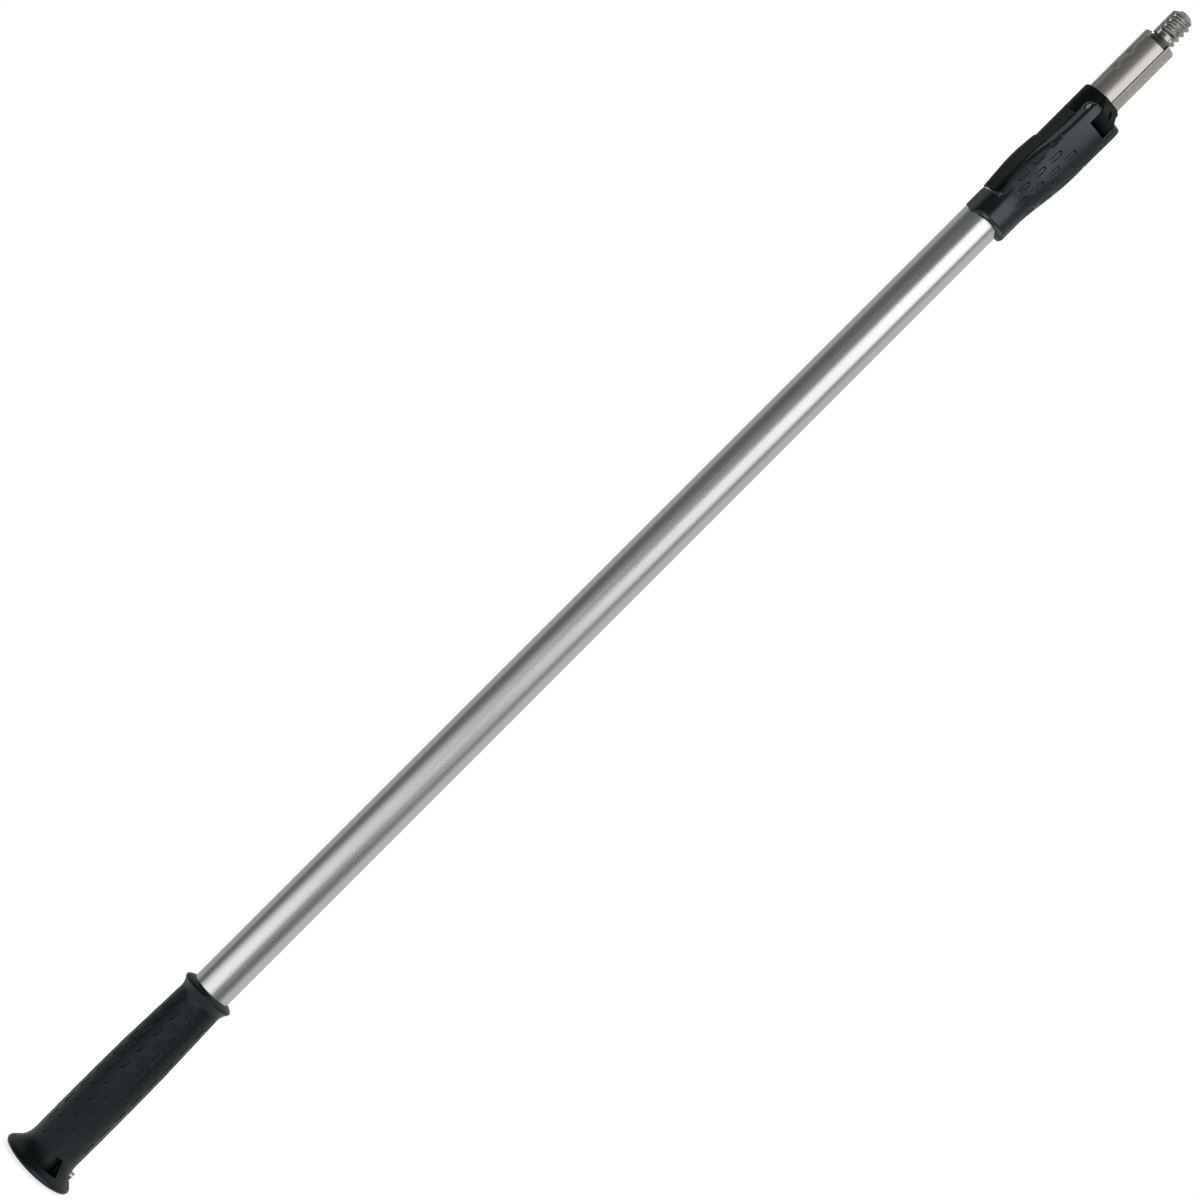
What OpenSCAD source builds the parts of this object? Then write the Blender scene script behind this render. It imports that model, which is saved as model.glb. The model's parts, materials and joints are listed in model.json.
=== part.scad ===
// Two-section roller extension pole with a lever lock.
// +Z runs along the pole from the centre of the handle's end (the origin) to the threaded tip.
// The lever faces -Y. Lengths are in millimetres.

/* [Pole] */
// Length of the closed pole, from the handle's end to the end of the thread
pole_length = 1200; // [1000:10:1500]
// Outside radius of the outer tube
tube_r = 16; // [15.9:0.05:16.1]
// Wall of the outer tube
tube_wall = 1.5; // [1.3:0.05:1.5]
// Outside radius of the inner tube
inner_r = 14; // [13.9:0.05:14.05]
// Wall of the inner tube
inner_wall = 1.4; // [1.2:0.1:1.6]
// Depth of the four long grooves in the inner tube
groove_depth = 0.5; // [0.3:0.1:0.7]
// Width of the four long grooves
groove_width = 0.9; // [0.6:0.1:1.2]

/* [Handle] */
// Length of the rubber grip
grip_length = 185; // [170:1:230]
// Radius of the flared end of the grip
flare_r = 30.4; // [29:0.1:32]
// Angle of the front hang window around the pole
window_angle = -101; // [-110:1:-90]
// Angle of the grip screw around the pole
screw_angle = -28; // [-40:1:-20]

/* [Lock] */
// Distance from the end of the thread down to the hinge pin
pin_drop = 103.5; // [100:0.5:130]
// Distance of the hinge pin in front of the pole's axis
pin_out = 21; // [20.8:0.1:21.3]
// Radius of the hinge pin
pin_r = 2; // [1.5:0.1:2.2]
// Radius of the lock's round lug about the hinge pin
knuckle_r = 7.6; // [7:0.1:7.7]
// Wall of the lever's shell
lever_wall = 2.2; // [1.8:0.1:2.4]
// Running gap between the moving parts of the lock
lock_gap = 0.3; // [0.25:0.05:0.4]

/* [Thread] */
// Outside radius of the thread, three quarters of an inch across
thread_r = 9.525; // [9.3:0.005:9.525]
// Root radius of the thread
thread_root_r = 7.4; // [6.9:0.1:7.6]
// Rise of the thread in one turn, five turns to the inch
thread_pitch = 5.08; // [4.5:0.01:5.5]
// Length of the thread
thread_length = 25; // [22:0.5:27]

/* [Hidden] */
$fn = 96;

// Heights along the pole
pin_z = pole_length - pin_drop;
tube_foot_z = 26;
plug_top_z = 52;
cushion_top_z = 57;
glide_foot_z = cushion_top_z + 0.5;
inner_foot_z = glide_foot_z + 5;
thread_foot_z = pole_length - thread_length;
inner_top_z = thread_foot_z - 2.9;
notch_depth = 4.8;
tube_bore_r = tube_r - tube_wall;
inner_bore_r = inner_r - inner_wall;

// Heights in the lock, counted from the hinge pin
lock_top = 16.5;
bushing_top = 12;
bushing_foot = -9;
wiper_top = 15;
tube_stop = -38.5;
step_height = -37.5;
cheek_top = -8.5;
housing_foot = -90.2;
saddle_top = -92;
saddle_foot = -108.5;
lever_foot = -112.5;
shoe_top = -14.7;
shoe_foot = -30.3;
shoe_half_w = 5.7;
rib_out = 19.4;
shoe_out = 19.8;
shoe_in = 8;
pad_gap = 0.12;
reach_across = 20;
reach_out = 32;
pad_r = inner_r + 1;

// Radii, half widths and distances in front of the axis in the lock
collar_r = 16.6;
rim_bevel = 2;
cheek_out = 15.3;
bushing_r = 15.2;
housing_bore_r = inner_r + 0.4;
lug_in = 10;
slot_half_w = 0.9;
slot_aside = 0.7;
slot_corners = [[-0.7, 9.3], [2.3, 12.3], [8.2, 6.4], [5.2, 3.4]];
ear_relief = 0.7;
shoe_gap = 0.2;
lug_half_w = 7.8;
ear_in = lug_half_w + lock_gap;
ear_out = 16.2;
saddle_in = tube_r + lock_gap;
fit_gap = 0.05;

// Lever
ear_r = 6.5;
boss_foot = -10;
arm_end = -3.5;
arm_bevel = 1.5;
toe_out = 23.4;
barrel_out = 6.6;
cam_half_w = 5.2;
cam_out = 20.05;
cam_top = -16.5;
cam_foot = -28.5;
cam_pin_r = 1.2;
cam_pin_out = 24.5;
cam_pin_height = (cam_top + cam_foot) / 2;
cam_rib_w = 1.8;
saddle_hoop = 1.8;

// Handle's end
core_r = 13.5;
core_foot_z = 6;
pocket_foot_z = 9.6;
pocket_top_z = 23;
pocket_half_angle = 27;
window_foot_z = 10.2;
window_half_w_low = 10.3;
window_half_w_high = 5.7;
plug_pin_z = 40;
plug_pin_r = 1.6;
cushion_r = 12.5;
cushion_bore_r = 4;
screw_z = 15.5;
screw_r = 1.5;
screw_head_r = 2.8;
screw_seat = 21.5;
screw_head_top = 24.8;
screw_foot = 5;
slot_w = 0.9;

// Fasteners of the lock
rivet_heights = [-54, -76];
rivet_r = 2;
rivet_head_r = 3.6;
rivet_head_h = 1.5;
rivet_dome_h = 0.6;
rivet_seat = 17.9;
pin_half_length = 15.5;
pin_bore_r = 0.9;
glide_pin_z = inner_foot_z + 14;
glide_pin_r = 1.6;
glide_length = 25;
glide_bore_r = 8;

// Upper end of the inner tube and the tip
notch_angle = -166;
notch_width = 75;
dimple_heights = [pole_length - 64, pole_length - 49.5];
dimple_angle = -164;
dimple_r = 2.6;
dimple_depth = 0.6;
plug_foot_z = pole_length - 68;
plug_head_z = inner_top_z - 0.6;
thread_steps = 30;
thread_start = -80;
ridge_crest = 1.2;
ridge_shoulder = 2.6;
ridge_root = 3.6;
neck_r = thread_root_r + 1;
tip_flat_r = 5.2;
rib_angle = 172;
rib_w = 5.6;

// Outline of the housing: [height from the pin, half width]
housing_outline = [
    [step_height, 17.5], [-45, 18.2], [-53, 18.9], [-61, 19.1], [-68, 18.9],
    [-75, 18.3], [-82, 17.8], [-87, 17.4], [housing_foot, 17.2]
];
// Front edge of the housing's cheeks: [height from the pin, distance in front of the axis]
parting_line = [
    [cheek_top, 15.4], [-36, 15.2], [-57, 14.8], [-70, 14.8], [-77, 15], [-83, 15.5], [housing_foot, 15.7]
];
// Outline of the lever: [height from the pin, half width]
lever_outline = [
    [ear_r, 12.6], [5.4, 14.5], [3.4, 15.8], [0.8, ear_out], [-21, ear_out], [-36, 17.1], [-46, 18.1],
    [-56, 18.7], [-66, 18.7], [-76, 18.1], [-86, 17.6], [lever_foot, 17.6]
];
// Crown of the lever: [height from the pin, distance in front of the axis]
lever_crown = [
    [0.8, 28.4], [-6, 28.9], [-24, 27.9], [-42, 26.8], [-60, 26.1], [-76, 25.1],
    [-86, 24.1], [-92, 24], [-108, 24.4]
];

// Round limit of the lever's section: [height from the pin, radius about its own axis]
barrel_outline = [
    [ear_r + 1, 25], [-26, 24.6], [-40, 23.6], [-57, 21.8], [-70, 20.1], [-83.5, 18.2],
    [-92, 17.7], [lever_foot - 1, 17.7]
];

// Outer wall of the hang pocket: [radius, height]
pocket_outline = [
    [22.4, pocket_foot_z], [21.4, 12], [19.6, 15.5], [18.5, 19.5], [18.3, pocket_top_z]
];

// Outline of the grip: [radius, height] from the middle of its end to its upper rim
grip_outline = [
    [0, 0], [8.5, 0], [20, 0.7], [27, 2], [flare_r - 0.6, 3.1], [flare_r, 4.4], [flare_r - 0.5, 6],
    [28, 8], [25.4, 10.4], [23.4, 13], [22, 16], [21.3, 19.3], [21, 23], [21.2, 55], [21.1, 78],
    [20.7, 113], [19.6, 146], [18.65, grip_length - 13], [18.9, grip_length - 10],
    [20.2, grip_length - 6.6], [22, grip_length - 4.2], [22.2, grip_length - 3.2],
    [21.2, grip_length - 2.2], [18.6, grip_length - 0.8], [tube_r + 0.4, grip_length]
];

module ring(r_out, r_in, z0, z1) {
    translate([0, 0, z0])
        difference() {
            cylinder(r = r_out, h = z1 - z0);
            translate([0, 0, -1]) cylinder(r = r_in, h = z1 - z0 + 2);
        }
}

// A cylinder along X through the hinge pin's axis, in the lock's own heights
module pin_cylinder(r, half_length) {
    translate([-half_length, -pin_out, 0]) rotate([0, 90, 0]) cylinder(r = r, h = 2 * half_length);
}

// A box given by its half width across, its span in front of the axis and its heights
module front_box(half_w, out0, out1, z0, z1) {
    translate([-half_w, -out1, z0]) cube([2 * half_w, out1 - out0, z1 - z0]);
}

// Extrudes a side view, drawn as [distance in front, height], across the lock
module side_extrude(half_w) {
    rotate([0, 0, -90]) rotate([90, 0, 0])
        translate([0, 0, -half_w]) linear_extrude(2 * half_w) children();
}

// Extrudes a front view, drawn as [across, height], out from the pole's axis
module front_extrude(out0, out1) {
    translate([0, -out0, 0]) rotate([90, 0, 0]) linear_extrude(out1 - out0) children();
}

// Closed front view between the two mirrored sides of an outline
module mirrored_outline(outline, inset = 0) {
    right = [for (p = outline) [p[1] - inset, p[0]]];
    left = [for (i = [len(outline) - 1:-1:0]) [inset - outline[i][1], outline[i][0]]];
    polygon(concat(right, left));
}

module outer_tube() {
    color("silver")
        difference() {
            ring(tube_r, tube_bore_r, tube_foot_z, pin_z + tube_stop);
            plug_pin_hole();
            translate([0, 0, pin_z]) rivet_axes() cylinder(r = rivet_r, h = 2 * tube_r);
        }
}

module plug_pin_hole() {
    translate([0, 0, plug_pin_z]) rotate([0, 90, 0])
        cylinder(r = plug_pin_r, h = 2 * tube_r + 2, center = true);
}

// The two rivets at the back of the housing, in the lock's own heights
module rivet_axes() {
    for (h = rivet_heights) translate([0, 0, h]) rotate([-90, 0, 0]) children();
}

// Hang pocket behind each window: an arc-shaped hollow around the plug's core
module hang_pocket() {
    rotate([0, 0, -pocket_half_angle])
        rotate_extrude(angle = 2 * pocket_half_angle)
            polygon(concat([[core_r, pocket_foot_z]], pocket_outline, [[core_r, pocket_top_z]]));
    rotate([90, 0, 90])
        translate([0, 0, core_r + 2])
            linear_extrude(flare_r)
                polygon([
                    [-window_half_w_low, window_foot_z], [window_half_w_low, window_foot_z],
                    [window_half_w_high, pocket_top_z], [-window_half_w_high, pocket_top_z]
                ]);
}

module screw_axis(from_r) {
    rotate([0, 0, screw_angle]) translate([from_r, 0, screw_z]) rotate([0, 90, 0]) children();
}

module handle_grip() {
    color([0.13, 0.16, 0.17])
        difference() {
            rotate_extrude() polygon(concat(grip_outline, [[0, grip_length]]));
            translate([0, 0, tube_foot_z]) cylinder(r = tube_r, h = grip_length);
            translate([0, 0, core_foot_z]) cylinder(r = core_r, h = tube_foot_z);
            for (a = [0, 180]) rotate([0, 0, window_angle + a]) hang_pocket();
            screw_axis(screw_foot - 1) cylinder(r = screw_r, h = flare_r);
            screw_axis(screw_seat) cylinder(r = screw_head_r + 0.1, h = flare_r);
        }
}

module end_plug() {
    color([0.22, 0.23, 0.24])
        difference() {
            union() {
                translate([0, 0, core_foot_z]) cylinder(r = core_r, h = tube_foot_z - core_foot_z);
                translate([0, 0, tube_foot_z - 1])
                    cylinder(r = tube_bore_r, h = plug_top_z - tube_foot_z + 1);
            }
            plug_pin_hole();
            screw_axis(screw_foot - 1) cylinder(r = screw_r, h = flare_r);
        }
}

module plug_pin() {
    color("silver") translate([0, 0, plug_pin_z]) rotate([0, 90, 0])
        cylinder(r = plug_pin_r, h = 2 * tube_r - 0.4, center = true);
}

module stop_cushion() {
    color([0.1, 0.1, 0.1]) ring(cushion_r, cushion_bore_r, plug_top_z, cushion_top_z);
}

// Screw with a bevelled cross-slot head
module grip_screw() {
    bevel = 0.9;
    color([0.55, 0.56, 0.57])
        difference() {
            union() {
                screw_axis(screw_foot) cylinder(r = screw_r, h = screw_seat - screw_foot + 0.5);
                screw_axis(screw_seat) cylinder(r = screw_head_r, h = screw_head_top - bevel - screw_seat);
                screw_axis(screw_head_top - bevel)
                    cylinder(r1 = screw_head_r, r2 = screw_head_r - bevel / 2, h = bevel);
            }
            for (turn = [0, 90])
                screw_axis(screw_head_top) rotate([0, 0, turn])
                    cube([slot_w, 3 * screw_head_r, 2 * bevel], center = true);
        }
}

// Round body of the housing about the pole: the back half, then straight cheeks to the parting line
module housing_body() {
    rotate_extrude(angle = 180)
            polygon(concat(
                [[0, housing_foot], [0, step_height]],
                [for (p = housing_outline) [p[1], p[0]]]
            ));
    intersection() {
        barrel_limit();
        front_extrude(0, reach_out) mirrored_outline(housing_outline);
        side_extrude(reach_across) polygon(concat(
            [[-1, housing_foot], [-1, step_height]],
            [for (p = parting_line) if (p[0] <= step_height + 5) [p[1], min(p[0], step_height)]]
        ));
    }
}

// Straight cheeks beside the collar, below the lever's ears
module collar_cheeks() {
    front_box(collar_r, 0, cheek_out, step_height - 1, cheek_top);
}

// Top collar with a rounded upper rim
module collar() {
    rotate_extrude()
        polygon([
            [0, step_height - 1], [collar_r, step_height - 1], [collar_r, lock_top - rim_bevel],
            [collar_r - rim_bevel / 4, lock_top - rim_bevel / 2],
            [collar_r - rim_bevel, lock_top], [0, lock_top]
        ]);
}

// Lug that carries the pin, with the guide ribs of the brake shoe below it
module lug() {
    slant = knuckle_r * sqrt(2);
    rib_foot = shoe_foot - 3;
    side_extrude(lug_half_w) polygon([
        [lug_in, lock_top], [pin_out + slant - lock_top, lock_top],
        [pin_out + slant / 2, slant / 2], [pin_out, 0],
        [pin_out, -knuckle_r], [rib_out, -knuckle_r], [rib_out, rib_foot], [lug_in, rib_foot]
    ]);
    pin_cylinder(knuckle_r, lug_half_w);
}

module lock_housing() {
    color([0.09, 0.1, 0.11])
        translate([0, 0, pin_z])
            difference() {
                union() {
                    housing_body();
                    collar_cheeks();
                    collar();
                    lug();
                }
                // seat of the outer tube, open in front of it
                translate([0, 0, housing_foot - 1])
                    cylinder(r = tube_r + fit_gap, h = tube_stop - housing_foot + 1);
                front_box(tube_r + fit_gap, 0, pin_out, housing_foot - 1, tube_stop);
                // bore of the inner tube, counterbored for the bushing and the wiper
                translate([0, 0, tube_stop - 1]) cylinder(r = housing_bore_r, h = lock_top - tube_stop + 2);
                translate([0, 0, bushing_foot]) cylinder(r = bushing_r, h = lock_top - bushing_foot + 1);
                // relief beside the lug for the swinging ears of the lever
                for (side = [-1, 1])
                    translate([side * (lug_half_w + ear_out), 0, 0])
                        pin_cylinder(ear_r + ear_relief, ear_out);
                // window of the brake shoe and the slot in the slanted top
                front_box(shoe_half_w + shoe_gap, 0, pin_out, shoe_foot - shoe_gap, shoe_top + shoe_gap);
                lug_slot();
                pin_cylinder(pin_r, ear_out);
                rivet_axes() cylinder(r = rivet_r, h = 2 * tube_r);
                rivet_axes() translate([0, 0, rivet_seat]) cylinder(r = rivet_head_r, h = tube_r);
            }
}

// Slot down the lug's slanted face
module lug_slot() {
    translate([slot_aside, 0, 0]) side_extrude(slot_half_w)
        polygon([for (p = slot_corners) [pin_out + p[0], p[1]]]);
}

module guide_bushing() {
    color([0.85, 0.85, 0.82]) translate([0, 0, pin_z])
        ring(bushing_r, inner_r + fit_gap, bushing_foot, bushing_top);
}

module wiper_ring() {
    color([0.08, 0.08, 0.08]) translate([0, 0, pin_z])
        ring(bushing_r, inner_r + fit_gap, bushing_top, wiper_top);
}

module hinge_pin() {
    color([0.78, 0.78, 0.78]) translate([0, 0, pin_z])
        difference() {
            pin_cylinder(pin_r, pin_half_length);
            pin_cylinder(pin_bore_r, ear_out);
        }
}

module housing_rivets() {
    color([0.7, 0.7, 0.7]) translate([0, 0, pin_z])
        rivet_axes() {
            translate([0, 0, tube_bore_r + 0.1]) cylinder(r = rivet_r, h = rivet_seat - tube_bore_r);
            translate([0, 0, rivet_seat]) cylinder(r = rivet_head_r, h = rivet_head_h - rivet_dome_h);
            translate([0, 0, rivet_seat + rivet_head_h - rivet_dome_h])
                cylinder(r1 = rivet_head_r, r2 = rivet_r, h = rivet_dome_h);
        }
}

// Side view of the lever: ears and crown in front, parting line and saddle arms behind
module lever_side(inset = 0) {
    crown = [for (p = lever_crown) [p[1] - inset, p[0]]];
    back = [
        for (i = [len(parting_line) - 1:-1:0])
            [parting_line[i][1] + lock_gap + 0.1, parting_line[i][0]]
    ];
    polygon(concat(
        [
            [pin_out, ear_r], [pin_out + 2.4, ear_r - 0.4], [pin_out + 4.6, ear_r - 1.7],
            [pin_out + 6.3, ear_r - 3.5]
        ],
        crown,
        [
            [toe_out - inset, saddle_foot], [toe_out - 4, saddle_foot], [saddle_in, saddle_foot - 0.8],
            [saddle_in - 3.3, lever_foot + 1.2], [9, lever_foot], [4.5, lever_foot + 0.2],
            [1, lever_foot + 1.6], [arm_end, lever_foot + 2.2], [arm_end, saddle_top - arm_bevel],
            [arm_end + arm_bevel, saddle_top],
            [back[0][0], saddle_top]
        ],
        back,
        [[back[len(back) - 1][0], -4]]
    ));
}

// Round limit of the lever's section, about an upright axis inside the shell
module lever_barrel(inset = 0) {
    translate([0, -barrel_out, 0])
        rotate_extrude()
            polygon(concat(
                [[0, lever_foot - 1], [0, ear_r + 1]],
                [for (p = barrel_outline) [p[1] - inset, p[0]]]
            ));
}

// Everything behind the lock's round front
module barrel_limit(inset = 0) {
    lever_barrel(inset);
    front_box(reach_across, arm_end - 1, barrel_out, lever_foot - 1, ear_r + 1);
}

// Solid form of the lever, shrunk by an inset for its hollow
module lever_form(inset = 0) {
    intersection() {
        side_extrude(reach_across) lever_side(inset);
        front_extrude(arm_end - 1, reach_out) mirrored_outline(lever_outline, inset);
        barrel_limit(inset);
    }
}

// Hollow of the lever: open at the back, with a ring left round the tube at the saddle
module lever_hollow() {
    difference() {
        union() {
            intersection() {
                lever_form(lever_wall);
                front_box(reach_across, 0, reach_out, saddle_foot + 3, boss_foot);
            }
            front_box(ear_out - lever_wall, 0, saddle_in + saddle_hoop, saddle_top, boss_foot);
        }
        translate([0, 0, lever_foot - 1])
            cylinder(r = saddle_in + saddle_hoop, h = saddle_top - lever_foot + 1);
    }
}

// Round backs of the two ears
module lever_ears() {
    intersection() {
        front_extrude(0, reach_out) mirrored_outline(lever_outline);
        pin_cylinder(ear_r, ear_out);
    }
}

// Ribs behind the crown that hold the cam insert
module cam_ribs() {
    for (side = [-1, 1])
        translate([side * (cam_half_w + cam_rib_w / 2), 0, 0])
            front_box(cam_rib_w / 2, cam_out + 0.7, lever_crown[2][1] - 1, cam_foot - 1.5, cam_top + 1.5);
}

module lever() {
    color([0.17, 0.19, 0.2])
        translate([0, 0, pin_z])
            difference() {
                union() {
                    difference() {
                        lever_form();
                        lever_hollow();
                    }
                    lever_ears();
                    cam_ribs();
                }
                // window between the ears
                front_box(ear_in, 0, reach_out, -knuckle_r - 0.5, ear_r + 2);
                front_box(ear_in, 0, lever_crown[2][1] - lever_wall - 0.3, boss_foot - 3, 0);
                // grip of the saddle on the outer tube
                translate([0, 0, lever_foot - 1]) cylinder(r = saddle_in, h = saddle_top - lever_foot + 2);
                front_box(saddle_in, arm_end - 2, 0, lever_foot - 1, saddle_top + 1);
                pin_cylinder(pin_r + fit_gap, reach_across);
                cam_pin_axis() cylinder(r = cam_pin_r, h = 2 * cam_half_w + 4, center = true);
            }
}

// Axis of the cam pin, across the lever
module cam_pin_axis() {
    translate([0, -cam_pin_out, cam_pin_height]) rotate([0, 90, 0]) children();
}

// Toe that presses the brake shoe: a block with a narrower nose
module cam_insert() {
    nose = 1.5;
    color([0.75, 0.72, 0.6])
        translate([0, 0, pin_z])
            difference() {
                union() {
                    front_box(cam_half_w, cam_out + nose, cam_out + 5.4, cam_foot, cam_top);
                    front_box(cam_half_w, cam_out, cam_out + nose + 0.5, cam_foot + 2, cam_top - 2);
                }
                cam_pin_axis() cylinder(r = cam_pin_r, h = reach_across, center = true);
            }
}

module cam_pin() {
    color("silver") translate([0, 0, pin_z]) cam_pin_axis()
        cylinder(r = cam_pin_r, h = 2 * cam_half_w + 3.2, center = true);
}

module brake_shoe() {
    color([0.6, 0.6, 0.6])
        translate([0, 0, pin_z])
            difference() {
                front_box(shoe_half_w, shoe_in, shoe_out, shoe_foot, shoe_top);
                translate([0, 0, shoe_foot - 1]) cylinder(r = pad_r, h = shoe_top - shoe_foot + 2);
            }
}

module brake_pad() {
    color([0.12, 0.12, 0.12])
        translate([0, 0, pin_z])
            intersection() {
                front_box(shoe_half_w, shoe_in, shoe_out, shoe_foot, shoe_top);
                ring(pad_r, inner_r + pad_gap, shoe_foot, shoe_top);
            }
}

module inner_tube() {
    color([0.72, 0.7, 0.64])
        difference() {
            ring(inner_r, inner_bore_r, inner_foot_z, inner_top_z);
            for (a = [0:90:270])
                rotate([0, 0, a])
                    translate([inner_r - groove_depth, -groove_width / 2, inner_foot_z - 1])
                        cube([2, groove_width, pole_length]);
            // two notches in the upper end
            for (a = [0, 180])
                rotate([0, 0, notch_angle + a])
                    rotate_extrude(angle = notch_width)
                        translate([inner_bore_r - 1, inner_top_z - notch_depth]) square([4, notch_depth + 1]);
            dimples();
            glide_pin_hole();
        }
}

// Round dimples that crimp the tube onto the tip's plug
module dimples() {
    for (h = dimple_heights)
        for (a = [dimple_angle, dimple_angle + 180])
            translate([0, 0, h]) rotate([0, 90, a]) translate([0, 0, inner_r - dimple_depth])
                cylinder(r = dimple_r, h = 2);
}

// Section of the thread's ridge, as [share of its height, distance along the axis]
ridge_section = [
    [-0.14, -ridge_root / 2], [0.7, -ridge_shoulder / 2], [1, -ridge_crest / 2],
    [1, ridge_crest / 2], [0.7, ridge_shoulder / 2], [-0.14, ridge_root / 2]
];

// One ridge of the thread: its section carried along the helix, faded in and out at its ends
module thread_ridge(turns, foot_z) {
    n = round(turns * thread_steps);
    count = len(ridge_section);
    fade_steps = 5;
    points = [
        for (i = [0:n], p = ridge_section)
            let (
                a = i * 360 / thread_steps,
                fade = min(1, (min(i, n - i) + 1) / fade_steps),
                r = thread_root_r + (thread_r - thread_root_r) * min(p[0], p[0] * fade)
            )
            [r * cos(a), r * sin(a), foot_z + thread_pitch * i / thread_steps + p[1]]
    ];
    sides = [
        for (i = [0:n - 1], k = [0:count - 1])
            let (p = count * i + k, q = count * i + (k + 1) % count)
            each [[p, q, p + count], [q, q + count, p + count]]
    ];
    first_cap = [for (k = [0:count - 1]) count - 1 - k];
    last_cap = [for (k = [0:count - 1]) count * n + k];
    polyhedron(points = points, faces = concat(sides, [first_cap, last_cap]), convexity = 8);
}

// Everything below the bevel at the tip's end
module below_bevel() {
    rotate_extrude()
        polygon([
            [0, plug_foot_z], [inner_r, plug_foot_z], [inner_r, pole_length - inner_r + tip_flat_r],
            [tip_flat_r, pole_length], [0, pole_length]
        ]);
}

module threaded_tip() {
    ridge_turns = (thread_length - ridge_root - 0.2) / thread_pitch;
    color([0.7, 0.7, 0.66])
        intersection() {
            union() {
                translate([0, 0, plug_foot_z]) cylinder(r = inner_bore_r, h = plug_head_z - plug_foot_z);
                translate([0, 0, plug_head_z]) cylinder(r = neck_r, h = thread_foot_z + 0.2 - plug_head_z);
                translate([0, 0, thread_foot_z]) cylinder(r = thread_root_r, h = thread_length);
                rotate([0, 0, thread_start]) thread_ridge(ridge_turns, thread_foot_z + ridge_root / 2);
                cast_rib();
            }
            below_bevel();
        }
}

// Upright strip at the left, where the halves of the casting meet
module cast_rib() {
    rotate([0, 0, rib_angle])
        intersection() {
            translate([0, 0, thread_foot_z]) cylinder(r = thread_r - 0.05, h = thread_length - 1.6);
            translate([0, -rib_w / 2, thread_foot_z]) cube([thread_r, rib_w, thread_length]);
        }
}

module glide_pin_hole() {
    translate([0, 0, glide_pin_z]) rotate([0, 90, 45])
        cylinder(r = glide_pin_r, h = 2 * inner_r + 2, center = true);
}

module inner_glide() {
    color([0.2, 0.2, 0.2])
        difference() {
            union() {
                translate([0, 0, glide_foot_z])
                    cylinder(r = tube_bore_r - 0.1, h = inner_foot_z - glide_foot_z);
                translate([0, 0, inner_foot_z - 1]) cylinder(r = inner_bore_r, h = glide_length + 1);
            }
            translate([0, 0, glide_foot_z - 1]) cylinder(r = glide_bore_r, h = 2 * glide_length);
            glide_pin_hole();
        }
}

module glide_pin() {
    color("silver") translate([0, 0, glide_pin_z]) rotate([0, 90, 45])
        cylinder(r = glide_pin_r, h = 2 * inner_r - 0.6, center = true);
}

outer_tube();
handle_grip();
end_plug();
plug_pin();
stop_cushion();
grip_screw();
lock_housing();
guide_bushing();
wiper_ring();
hinge_pin();
housing_rivets();
lever();
cam_insert();
cam_pin();
brake_shoe();
brake_pad();
inner_tube();
threaded_tip();
inner_glide();
glide_pin();
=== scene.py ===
"""Looks of a two-section roller extension pole: visible pieces, materials, a floor, light and a camera.

Positions are in metres in the row's frame: +Z runs from the handle's end, at the origin, to the threaded tip,
and the lever of the lock faces -Y. Lengths written in the tables below are in millimetres.
"""
import math

import bmesh
import bpy
import numpy as np
from mathutils import Matrix, Vector
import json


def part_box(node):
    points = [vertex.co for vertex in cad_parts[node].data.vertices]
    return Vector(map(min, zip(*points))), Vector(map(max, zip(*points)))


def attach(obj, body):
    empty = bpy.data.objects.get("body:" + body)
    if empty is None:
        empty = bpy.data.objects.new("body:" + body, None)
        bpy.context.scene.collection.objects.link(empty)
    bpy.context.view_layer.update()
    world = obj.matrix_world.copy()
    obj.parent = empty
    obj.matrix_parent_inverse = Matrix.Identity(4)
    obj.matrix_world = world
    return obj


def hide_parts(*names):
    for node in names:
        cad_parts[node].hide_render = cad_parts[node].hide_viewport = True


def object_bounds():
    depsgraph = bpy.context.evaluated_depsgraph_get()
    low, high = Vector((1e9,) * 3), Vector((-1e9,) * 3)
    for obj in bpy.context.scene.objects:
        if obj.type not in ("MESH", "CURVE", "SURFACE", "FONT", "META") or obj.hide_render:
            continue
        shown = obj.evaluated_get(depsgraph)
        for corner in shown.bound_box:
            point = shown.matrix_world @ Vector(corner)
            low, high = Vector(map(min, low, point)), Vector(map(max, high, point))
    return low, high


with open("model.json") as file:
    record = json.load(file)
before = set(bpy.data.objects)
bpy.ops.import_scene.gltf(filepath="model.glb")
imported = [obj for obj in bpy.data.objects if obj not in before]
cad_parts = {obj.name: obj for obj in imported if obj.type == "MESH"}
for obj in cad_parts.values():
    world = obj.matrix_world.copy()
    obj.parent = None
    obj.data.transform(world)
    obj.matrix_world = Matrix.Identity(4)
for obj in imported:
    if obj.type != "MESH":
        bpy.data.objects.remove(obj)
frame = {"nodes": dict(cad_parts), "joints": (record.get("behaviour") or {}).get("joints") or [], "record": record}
cad_low, cad_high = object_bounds()

MM = 0.001


# ---------------------------------------------------------------- sizes taken from the frame

def joint_position(name):
    """Position of a joint of the record, in millimetres."""
    joint = next(j for j in frame["joints"] if j["name"] == name)
    return [c / MM for c in joint["pos_m"]]


def mount_dims(name):
    """Stated dimensions of a mount of the record."""
    mount = next(m for m in frame["record"]["mounts"] if m["name"] == name)
    return mount["dims"]


def node_span(node):
    """Outside radius, lowest height and highest height of a round node, in millimetres."""
    low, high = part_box(node)
    return high.x / MM, low.z / MM, high.z / MM


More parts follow.
